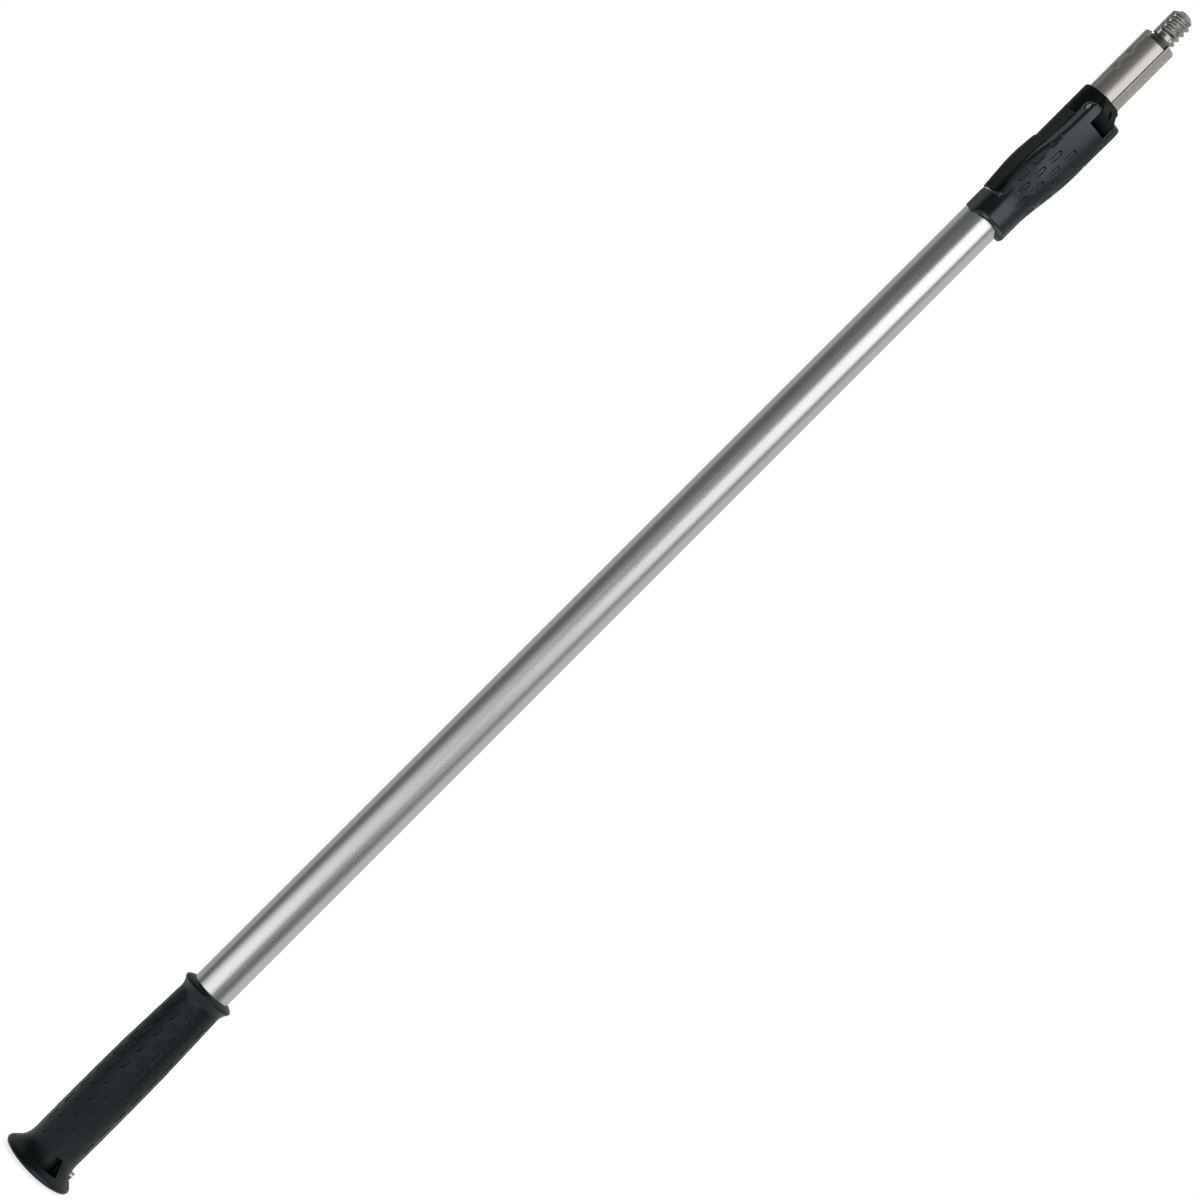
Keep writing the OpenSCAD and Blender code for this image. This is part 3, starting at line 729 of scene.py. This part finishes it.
def grip_dashes(angles, heights, radii):
    """Depth of the grip's rows of dashes; every second row is half a pitch higher and has one dash fewer."""
    depth = np.zeros((len(heights), len(angles)))
    for column in range(DASH_COLUMNS):
        centre_angle = DASH_FIRST_ANGLE + column * 360 / DASH_COLUMNS
        across = np.radians(turn_between(angles, centre_angle))[None, :] * radii[:, None]
        odd = column % 2
        for k in range(DASHES_IN_COLUMN - odd):
            centre = DASH_FIRST_HEIGHT + DASH_PITCH * (k + 0.5 * odd)
            far = dash_distance(across, (heights - centre)[:, None])
            sunk = np.clip((DASH_EDGE_OUT - far) / DASH_EDGE, 0, 1)
            depth = np.maximum(depth, DASH_DEPTH * sunk * sunk * (3 - 2 * sunk))
    return depth


def rounded_polygon(corners, radius, steps=5):
    """The corners of a flat outline cut to arcs."""
    corners = [Vector(c) for c in corners]
    outline = []
    for i, corner in enumerate(corners):
        before = (corners[i - 1] - corner).normalized() * radius
        after = (corners[(i + 1) % len(corners)] - corner).normalized() * radius
        for k in range(steps + 1):
            t = k / steps
            outline.append(corner + before * (1 - t) ** 2 + after * t ** 2)
    return outline


def window_cutter(turn):
    """Tapered block that opens a hang window, with rounded lower corners."""
    outline = rounded_polygon(WINDOW, 1.5)
    inner, outer = CORE_R + 1, FLARE_R + 3
    direction = math.radians(WINDOW_ANGLE + turn)
    out, side = (math.cos(direction), math.sin(direction)), (-math.sin(direction), math.cos(direction))
    points = [
        (out[0] * r + side[0] * p.x, out[1] * r + side[1] * p.x, p.y) for r in (inner, outer) for p in outline
    ]
    count = len(outline)
    faces = [tuple(range(count))[::-1], tuple(range(count, 2 * count))]
    faces += [(k, (k + 1) % count, (k + 1) % count + count, k + count) for k in range(count)]
    piece = add_object("window_cutter", points, faces)
    merge_close(piece)
    return piece


def pocket_cutter(turn):
    """Arc-shaped hollow behind a hang window."""
    steps = np.radians(np.linspace(-POCKET_HALF_ANGLE, POCKET_HALF_ANGLE, 25) + WINDOW_ANGLE + turn)
    count = len(POCKET_OUTLINE)
    points = [(r * math.cos(a), r * math.sin(a), z) for a in steps for r, z in POCKET_OUTLINE]
    faces = [tuple(range(count)), tuple(range((len(steps) - 1) * count, len(steps) * count))[::-1]]
    for i in range(len(steps) - 1):
        for k in range(count):
            here, beside, following = i * count, (i + 1) * count, (k + 1) % count
            faces.append((here + k, beside + k, beside + following, here + following))
    piece = add_object("pocket_cutter", points, faces)
    merge_close(piece)
    return piece


def cut(piece, cutter):
    """Takes the cutter out of the piece and removes it from the scene."""
    modifier = piece.modifiers.new("cut", "BOOLEAN")
    modifier.operation = "DIFFERENCE"
    modifier.solver = "EXACT"
    modifier.object = cutter
    graph = bpy.context.evaluated_depsgraph_get()
    result = bpy.data.meshes.new_from_object(piece.evaluated_get(graph))
    piece.modifiers.clear()
    piece.data = result
    bpy.data.objects.remove(cutter)


def make_handle_grip():
    """Rubber sleeve with rows of dashes, a rim, a flared end and two hang windows."""
    dash_heights = np.arange(26, 172, 0.5)
    rim_heights = np.linspace(GRIP_TOP - 12.5, GRIP_TOP, 30)
    heights = np.concatenate([FLARE_HEIGHTS, dash_heights, rim_heights])
    coarse = np.interp(heights, *zip(*GRIP_OUTLINE))
    rounded = (heights > 9) & (heights < GRIP_TOP - 1.5)
    radii = np.where(rounded, soft_curve(GRIP_OUTLINE, heights, 0.8), coarse)
    bore = TUBE_R + 0.02
    outside = list(zip(radii, heights))
    inside = [
        (bore, GRIP_TOP - 0.3), (bore, TUBE_FOOT), (CORE_R, TUBE_FOOT), (CORE_R, CORE_FOOT),
        (0, CORE_FOOT), (0, 0),
    ]
    angles = np.array([
        DASH_FIRST_ANGLE + c * 360 / DASH_COLUMNS + o for c in range(DASH_COLUMNS) for o in DASH_ANGLES
    ])
    profile = np.array(outside + inside)
    radial = np.zeros((len(profile), len(angles)))
    radial[:len(heights)] = -grip_dashes(angles, heights, radii)
    piece = turned("handle_grip_skin", profile, angles, radial)
    for turn in (0, 180):
        cut(piece, pocket_cutter(turn))
        cut(piece, window_cutter(turn))
    finish_piece(piece, "outer", MATERIALS["grip_rubber"], ["handle_grip"])


# ---------------------------------------------------------------- lock

BARREL_OUT = 6.6
BARREL_OUTLINE = [
    (7.5, 25), (-26, 24.6), (-40, 23.6), (-57, 21.8), (-70, 20.1), (-83.5, 18.2), (-92, 17.7), (-113.5, 17.7),
]
PIN_R = 2.0

# The housing.
COLLAR_R = 16.6
LOCK_TOP = 16.5
STEP_W = -37.5
TUBE_STOP = TUBE_TOP - PIN_Z
HOUSING_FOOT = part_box("lock_housing")[0].z / MM - PIN_Z
HOUSING_OUTLINE = [
    (STEP_W, 17.5), (-45, 18.2), (-53, 18.9), (-61, 19.1), (-68, 18.9), (-75, 18.3), (-82, 17.8),
    (-87, 17.4), (HOUSING_FOOT, 17.2),
]
CHEEK_TOP = -8.5
CHEEK_OUT = 15.3
PARTING_LINE = [
    (CHEEK_TOP, 15.4), (-36, 15.2), (-57, 14.8), (-70, 14.8), (-77, 15), (-83, 15.5), (HOUSING_FOOT, 15.7),
]
KNUCKLE_R = 7.6
LUG_HALF_WIDTH = 7.8
LUG_BACK = 10
LUG_RIB_OUT = 19.4
LUG_RIB_FOOT = -33.3
SLOT_ASIDE = 0.7
SLOT_HALF_WIDTH = 0.9
SLOT_SPAN = (11, 22.8)
SLOT_DEPTH = 1.5
BUSHING_R = 15.2
BUSHING_FOOT = -9
SHOE_WINDOW_HALF_WIDTH = 5.9
SHOE_WINDOW_SPAN = (-30.5, -14.5)
RIVET_HEIGHTS = (-54, -76)
RIVET_SEAT_R = 3.7
RIVET_SEAT_OUT = -17.9

# The lever.
EAR_R = 6.5
EAR_FRONT = (0.6, -0.8, 7.3)
EAR_IN = 8.1
EAR_OUT = 16.2
PIN_HEAD_R = 3.2
PIN_HEAD_IN = 15.3
LEVER_OUTLINE = [
    (6.5, 12.6), (5.4, 14.5), (3.4, 15.8), (0.8, EAR_OUT), (-21, EAR_OUT), (-36, 17.1), (-46, 18.1),
    (-56, 18.7), (-66, 18.7), (-76, 18.1), (-86, 17.6), (-112.5, 17.6),
]
LEVER_CROWN = [
    (0.8, 28.6), (-6, 28.9), (-24, 27.9), (-42, 26.8), (-60, 26.1), (-76, 25.1), (-86, 24.1), (-92, 24),
    (-108, 24.4),
]
LEVER_WALL = 2.2
LEVER_GAP = 0.4
HOLLOW_TOP = -10
OPENING_OUT = 18.1
LUG_ROOM_OUT = 25.4
LUG_ROOM_FOOT = -13
LEVER_RIBS = [(5.2, 7.0), (20.8, 26.5), (-30, -15)]
SADDLE_TOP = -92
SADDLE_FOOT = -108.5
SADDLE_IN = TUBE_R + 0.3
ARM_END = -3.5
LEVER_FOOT = [
    (-3.5, -110.3), (1, -110.9), (4.5, -112.2), (9, -112.4), (13, -111.2), (16.3, -109.3),
    (19.4, SADDLE_FOOT), (23.4, SADDLE_FOOT), (24.6, -107.6),
]
LEVER_DASH_CENTRES = {0: [-34.9, -51.4, -67.6, -83.9], 1: [-43.0, -59.2, -75.2]}
LEVER_DASH_R = 21.5
LEVER_DASH_HALF_LENGTH = 5.5
LEVER_DASH_HALF_WIDTH = 1.45
LEVER_DASH_SPACING = 7.85
LEVER_DASH_DEPTH = 0.9
LEVER_DASH_BACK = 10


def round_front(x, u, w):
    """Distance outside the round front that the lever and the housing share."""
    return np.hypot(x, np.maximum(u - BARREL_OUT, 0)) - soft_curve(BARREL_OUTLINE, w)


def housing_shell(x, u, w, axial):
    """The housing's shell round the back of the tube, its cheeks and its collar."""
    section = np.where(u < 0, axial, np.abs(x)) - soft_curve(HOUSING_OUTLINE, w, 1.5)
    section = both(section, np.where(u < BARREL_OUT, -9, round_front(x, u, w)), 0.5)
    behind = u - soft_curve(PARTING_LINE, w, 1.5)
    body = both(both(section, span(w, HOUSING_FOOT, STEP_W), 0.6), behind, 0.5)
    collar = both(axial - COLLAR_R, span(w, STEP_W - 1, LOCK_TOP), 2.0)
    cheeks = both(np.abs(x) - COLLAR_R, both(span(u, 0, CHEEK_OUT), span(w, STEP_W - 1, CHEEK_TOP)), 0.5)
    return either(either(body, cheeks), collar, 0.3)


def housing_lug(x, u, w, slant):
    """The lug that holds the hinge pin: a head cut off aslant, a round knuckle and the ribs below them."""
    head = both(both(slant, w - LOCK_TOP, 0.8), both(both(LUG_BACK - u, -w), u - PIN_OUT - w))
    knuckle = np.hypot(u - PIN_OUT, w) - KNUCKLE_R
    under = both(span(u, LUG_BACK, PIN_OUT), span(w, -KNUCKLE_R, 0))
    ribs = both(span(u, LUG_BACK, LUG_RIB_OUT), span(w, LUG_RIB_FOOT, 0))
    return both(np.abs(x) - LUG_HALF_WIDTH, either(either(head, knuckle), either(under, ribs)), 0.6)


def housing_field(x, u, w):
    """The lock housing, with its bores, the room for the lever's ears, the lug's slot and the rivet seats."""
    axial = np.hypot(x, u)
    hinge = np.hypot(u - PIN_OUT, w)
    slant = (u - PIN_OUT + w) / math.sqrt(2) - KNUCKLE_R
    solid = either(housing_shell(x, u, w, axial), housing_lug(x, u, w, slant), 0.4)
    seat = np.where(u < 0, axial, np.abs(x)) - (TUBE_R + 0.05)
    solid = without(solid, both(seat, w - TUBE_STOP))
    solid = without(solid, axial - (INNER_R + 0.4))
    solid = without(solid, both(axial - BUSHING_R, BUSHING_FOOT - w), 0.2)
    ear_room = both(hinge - (EAR_R + 0.7), LUG_HALF_WIDTH - np.abs(x))
    solid = without(solid, ear_room, 0.4)
    shoe_window = both(both(np.abs(x) - SHOE_WINDOW_HALF_WIDTH, span(w, *SHOE_WINDOW_SPAN)), -u)
    slot = both(both(np.abs(x - SLOT_ASIDE) - SLOT_HALF_WIDTH, span(u - w, *SLOT_SPAN)), -SLOT_DEPTH - slant)
    solid = without(without(solid, shoe_window), slot, 0.2)
    solid = without(solid, hinge - PIN_R)
    for height in RIVET_HEIGHTS:
        seat = both(np.hypot(x, w - height) - RIVET_SEAT_R, u - RIVET_SEAT_OUT)
        solid = without(solid, seat, 0.3)
    return solid


def lever_dashes(x, u, w):
    """Distance outside the lever's rows of dashes, measured round its barrel."""
    around = np.arctan2(x, u - BARREL_OUT) * LEVER_DASH_R
    straight = LEVER_DASH_HALF_LENGTH - LEVER_DASH_HALF_WIDTH
    nearest = np.full(np.broadcast(x, u, w).shape, 50.0, np.float32)
    for column in range(-2, 3):
        across = around - column * LEVER_DASH_SPACING
        for centre in LEVER_DASH_CENTRES[column % 2]:
            along = np.maximum(np.abs(w - centre) - straight, 0)
            np.minimum(nearest, np.hypot(across, along) - LEVER_DASH_HALF_WIDTH, out=nearest)
    return nearest


def lever_limits(x, u, w):
    """Distances outside the lever's sides, its crown and its round front."""
    sides = np.abs(x) - soft_curve(LEVER_OUTLINE, w, np.where(w > -4, 0.4, 2.5))
    crown = u + x * x / 100 - soft_curve(LEVER_CROWN, w)
    return sides, crown, round_front(x, u, w)


def lever_block(u, w, skin):
    """The lever before it is hollowed: its skin cut to the side view, with the foot and the arms' corners."""
    ear = both(np.hypot(u - PIN_OUT, w) - EAR_R, u - PIN_OUT - 1)
    front = both(PIN_OUT - u, np.hypot(u - PIN_OUT - EAR_FRONT[0], w - EAR_FRONT[1]) - EAR_FRONT[2])
    front = either(front, both(PIN_OUT - u, w - EAR_FRONT[1]))
    back_edge = np.where(w > SADDLE_TOP, soft_curve(PARTING_LINE, w, 1.5) + LEVER_GAP, ARM_END)
    side_view = either(either(ear, front), both(back_edge - u, w + 4), 0.5)
    foot = np.interp(u, *zip(*LEVER_FOOT)).astype(np.float32)
    solid = both(both(skin, side_view, 0.9), foot - w, 1.0)
    near_corner = both(u - ARM_END - 3, w - SADDLE_TOP) < 0
    bevel = (w - SADDLE_TOP - (u - ARM_END) + 1.5) / 1.4
    return both(solid, np.where(near_corner, bevel, -50), 0.5)


def lever_hollow(x, u, w, sides, crown, front):
    """The room inside the lever, above the hoop that hugs the tube."""
    inner_skin = both(both(sides, front, 1.0), crown, 2.0) + LEVER_WALL
    hollow = both(inner_skin, both(span(w, SADDLE_FOOT + 3, HOLLOW_TOP), -u))
    between_sides = np.abs(x) - (EAR_OUT - LEVER_WALL)
    opening = both(between_sides, both(span(u, 0, OPENING_OUT), span(w, SADDLE_TOP, HOLLOW_TOP)))
    hoop = both(np.hypot(x, u) - (SADDLE_IN + 1.8), w - SADDLE_TOP)
    return without(either(hollow, opening), hoop)


def lever_field(x, u, w):
    """The lever: ears about the pin, a crowned shell with dashes, and the saddle on the tube."""
    sides, crown, front = lever_limits(x, u, w)
    skin = both(both(sides, front, 1.5), crown, 2.2)
    solid = without(lever_block(u, w, skin), lever_hollow(x, u, w, sides, crown, front))
    between_ears = np.abs(x) - EAR_IN
    knuckle_room = both(between_ears, -KNUCKLE_R - 0.5 - w)
    lug_room = both(between_ears, both(u - LUG_ROOM_OUT, LUG_ROOM_FOOT - w))
    solid = without(solid, either(knuckle_room, lug_room), 0.4)
    bore = np.where(u < 0, np.abs(x), np.hypot(x, u)) - SADDLE_IN
    solid = without(solid, both(bore, w - SADDLE_TOP - 1), 0.6)
    hinge = np.hypot(u - PIN_OUT, w)
    pin_seat = either(hinge - (PIN_R + 0.1), both(hinge - PIN_HEAD_R, PIN_HEAD_IN - np.abs(x)))
    solid = without(solid, pin_seat, 0.3)
    across, outward, upward = LEVER_RIBS
    ribs = both(span(np.abs(x), *across), both(span(u, *outward), span(w, *upward)))
    solid = either(solid, both(ribs, skin))
    recess = both(lever_dashes(x, u, w), -LEVER_DASH_DEPTH - skin)
    return without(solid, both(recess, LEVER_DASH_BACK - u), 0.35)


def make_lock_housing():
    """Black moulding of the lock, fixed to the outer tube."""
    low, high, step = (-20.5, -20.5, -92.0), (20.5, 30.0, 18.0), 0.45
    field = housing_field(*grid(low, high, step))
    piece = field_piece("lock_housing_skin", field, low, step)
    finish_piece(piece, "outer", MATERIALS["housing_plastic"], ["lock_housing"], 50)


def make_lever():
    """Charcoal moulding that the hand opens."""
    low, high, step = (-20.0, -5.0, -114.5), (20.0, 31.0, 8.5), 0.4
    field = lever_field(*grid(low, high, step))
    piece = field_piece("lever_skin", field, low, step)
    finish_piece(piece, "lever", MATERIALS["lever_plastic"], ["lever"], 50)


# ---------------------------------------------------------------- pieces that stay as the CAD has them

def finish_cad_nodes():
    """Gives every node that stays its material."""
    slots = {s["node"]: s["material_slot"] for s in frame["record"]["subparts"]}
    for name, node in frame["nodes"].items():
        if node.hide_render:
            continue
        node.data.materials.clear()
        node.data.materials.append(MATERIALS[slots[name]])
        node.data.polygons.foreach_set("use_smooth", [True] * len(node.data.polygons))
        node.data.set_sharp_from_angle(angle=math.radians(30))


# ---------------------------------------------------------------- camera, floor and light

VIEW_TURN = math.radians(28)
TO_CAMERA = Vector((-math.sin(VIEW_TURN), -math.cos(VIEW_TURN), 0))
TO_RIGHT = Vector((math.cos(VIEW_TURN), -math.sin(VIEW_TURN), 0))
UP = Vector((0, 0, 1))
CAMERA_DISTANCE = 2.357
CAMERA_HEIGHT = 0.5906
CAMERA_ASIDE = -0.0011
ROLL = math.radians(45)
SENSOR_WIDTH = 36
LENS = 96


def make_camera():
    """Camera level with the middle of the pole, rolled so that the pole runs to the upper right."""
    data = bpy.data.cameras.new("camera")
    data.sensor_width = SENSOR_WIDTH
    data.lens = LENS
    data.clip_start, data.clip_end = 0.05, 50
    camera = bpy.data.objects.new("camera", data)
    bpy.context.scene.collection.objects.link(camera)
    right = UP * math.sin(ROLL) + TO_RIGHT * math.cos(ROLL)
    up = UP * math.cos(ROLL) - TO_RIGHT * math.sin(ROLL)
    place = TO_CAMERA * CAMERA_DISTANCE + UP * CAMERA_HEIGHT + TO_RIGHT * CAMERA_ASIDE
    camera.matrix_world = Matrix((
        (right.x, up.x, TO_CAMERA.x, place.x),
        (right.y, up.y, TO_CAMERA.y, place.y),
        (right.z, up.z, TO_CAMERA.z, place.z),
        (0, 0, 0, 1),
    ))
    bpy.context.scene.camera = camera


FLOOR_R = 400
FLOOR_GLOW = 0.3
FLOOR_EXTRA_GLOW = 0.45


def make_floor():
    """Round pale floor under the handle's end, whiter to the eye than in reflections."""
    angles = np.radians(np.arange(0, 360, 3))
    points = [(0, 0, 0)] + [(FLOOR_R * math.cos(a), FLOOR_R * math.sin(a), 0) for a in angles]
    count = len(angles)
    faces = [(0, k + 1, (k + 1) % count + 1) for k in range(count)]
    floor = add_object("floor", points, np.array(faces))
    material, tree, shader = new_material("floor_paint", (0.9, 0.9, 0.9), 0.8)
    shader.inputs["Emission Color"].default_value = (1, 1, 1, 1)
    sums = Sums(tree)
    seen = tree.nodes.new("ShaderNodeLightPath").outputs["Is Camera Ray"]
    glow = sums("ADD", sums("MULTIPLY", seen, FLOOR_EXTRA_GLOW), FLOOR_GLOW)
    tree.links.new(glow, shader.inputs["Emission Strength"])
    grain = noise(tree, (120, 120, 120), detail=3)
    tree.links.new(bump(tree, grain, 0.0002, 0.3), shader.inputs["Normal"])
    floor.data.materials.append(material)


# Where the light comes from, in degrees to the right of the camera and above the horizon. Of a direction,
# aside is the share that points to the right.
HIGH_LAMP = {"centre": (30, 8.3), "size": (34.5, -8.7), "fade": (52, 38), "strength": 1.35}
LOW_LAMP = {"centre": (-26, -16.8), "size": (48, 9.5), "fade": (-40, -28), "strength": 1.15}
LOW_FILL = {"rise": (-60, -20), "fall": (0, 30), "fade": (6, -3), "strength": 0.28}
RIGHT_WALL = {"rise": (55, 99), "strength": 0.44}
LEFT_WALL = {"rise": (-83, -119), "strength": 0.29}
OVERHEAD = {"rise": (35, 65), "aside": (-0.05, 0.25), "strength": 0.2}
ROOM_LIGHT = 0.10


def lamp_light(sums, turn, lift, lamp):
    """Light of a lamp: a strip with one round end and one that fades out."""
    strip = sums.tongue(turn, lift, lamp["centre"], lamp["size"])
    faded = sums("MULTIPLY", strip, sums.step(lift, *lamp["fade"]))
    return sums("MULTIPLY", faded, lamp["strength"])


def wall_light(sums, turn, wall):
    """Light of the side of the room that begins at a turn."""
    return sums("MULTIPLY", sums.step(turn, *wall["rise"]), wall["strength"])


def studio_light(tree):
    """Brightness of the room by direction: two soft lamps in front, a low fill, pale sides and a pale top."""
    sums = Sums(tree)
    direction = tree.nodes.new("ShaderNodeTexCoord").outputs["Generated"]
    aside = sums.along(direction, TO_RIGHT)
    turn = sums("DEGREES", sums("ARCTAN2", aside, sums.along(direction, TO_CAMERA)))
    lift = sums("DEGREES", sums("ARCSINE", sums.along(direction, UP)))
    overhead = sums("MULTIPLY", sums.step(lift, *OVERHEAD["rise"]), sums.step(aside, *OVERHEAD["aside"]))
    fill_turn = sums.window(turn, LOW_FILL["rise"], LOW_FILL["fall"])
    low_fill = sums("MULTIPLY", fill_turn, sums.step(lift, *LOW_FILL["fade"]))
    total = ROOM_LIGHT
    for part in [
        lamp_light(sums, turn, lift, HIGH_LAMP),
        lamp_light(sums, turn, lift, LOW_LAMP),
        sums("MULTIPLY", low_fill, LOW_FILL["strength"]),
        wall_light(sums, turn, RIGHT_WALL),
        wall_light(sums, turn, LEFT_WALL),
        sums("MULTIPLY", overhead, OVERHEAD["strength"]),
    ]:
        total = sums("ADD", part, total)
    return total


def make_studio():
    """Pale studio as a world, with a white backdrop to the eye."""
    world = bpy.data.worlds.new("studio")
    bpy.context.scene.world = world
    world.use_nodes = True
    tree = world.node_tree
    glow = tree.nodes["Background"]
    tree.links.new(studio_light(tree), glow.inputs["Color"])
    backdrop = tree.nodes.new("ShaderNodeBackground")
    backdrop.inputs["Color"].default_value = (1, 1, 1, 1)
    rays = tree.nodes.new("ShaderNodeLightPath")
    mix = tree.nodes.new("ShaderNodeMixShader")
    tree.links.new(rays.outputs["Is Camera Ray"], mix.inputs[0])
    tree.links.new(glow.outputs[0], mix.inputs[1])
    tree.links.new(backdrop.outputs[0], mix.inputs[2])
    tree.links.new(mix.outputs[0], tree.nodes["World Output"].inputs["Surface"])
    bpy.context.scene.view_settings.view_transform = "Standard"


make_camera()
make_floor()
make_studio()
make_outer_tube()
make_inner_tube()
make_threaded_tip()
make_handle_grip()
make_lock_housing()
make_lever()
finish_cad_nodes()
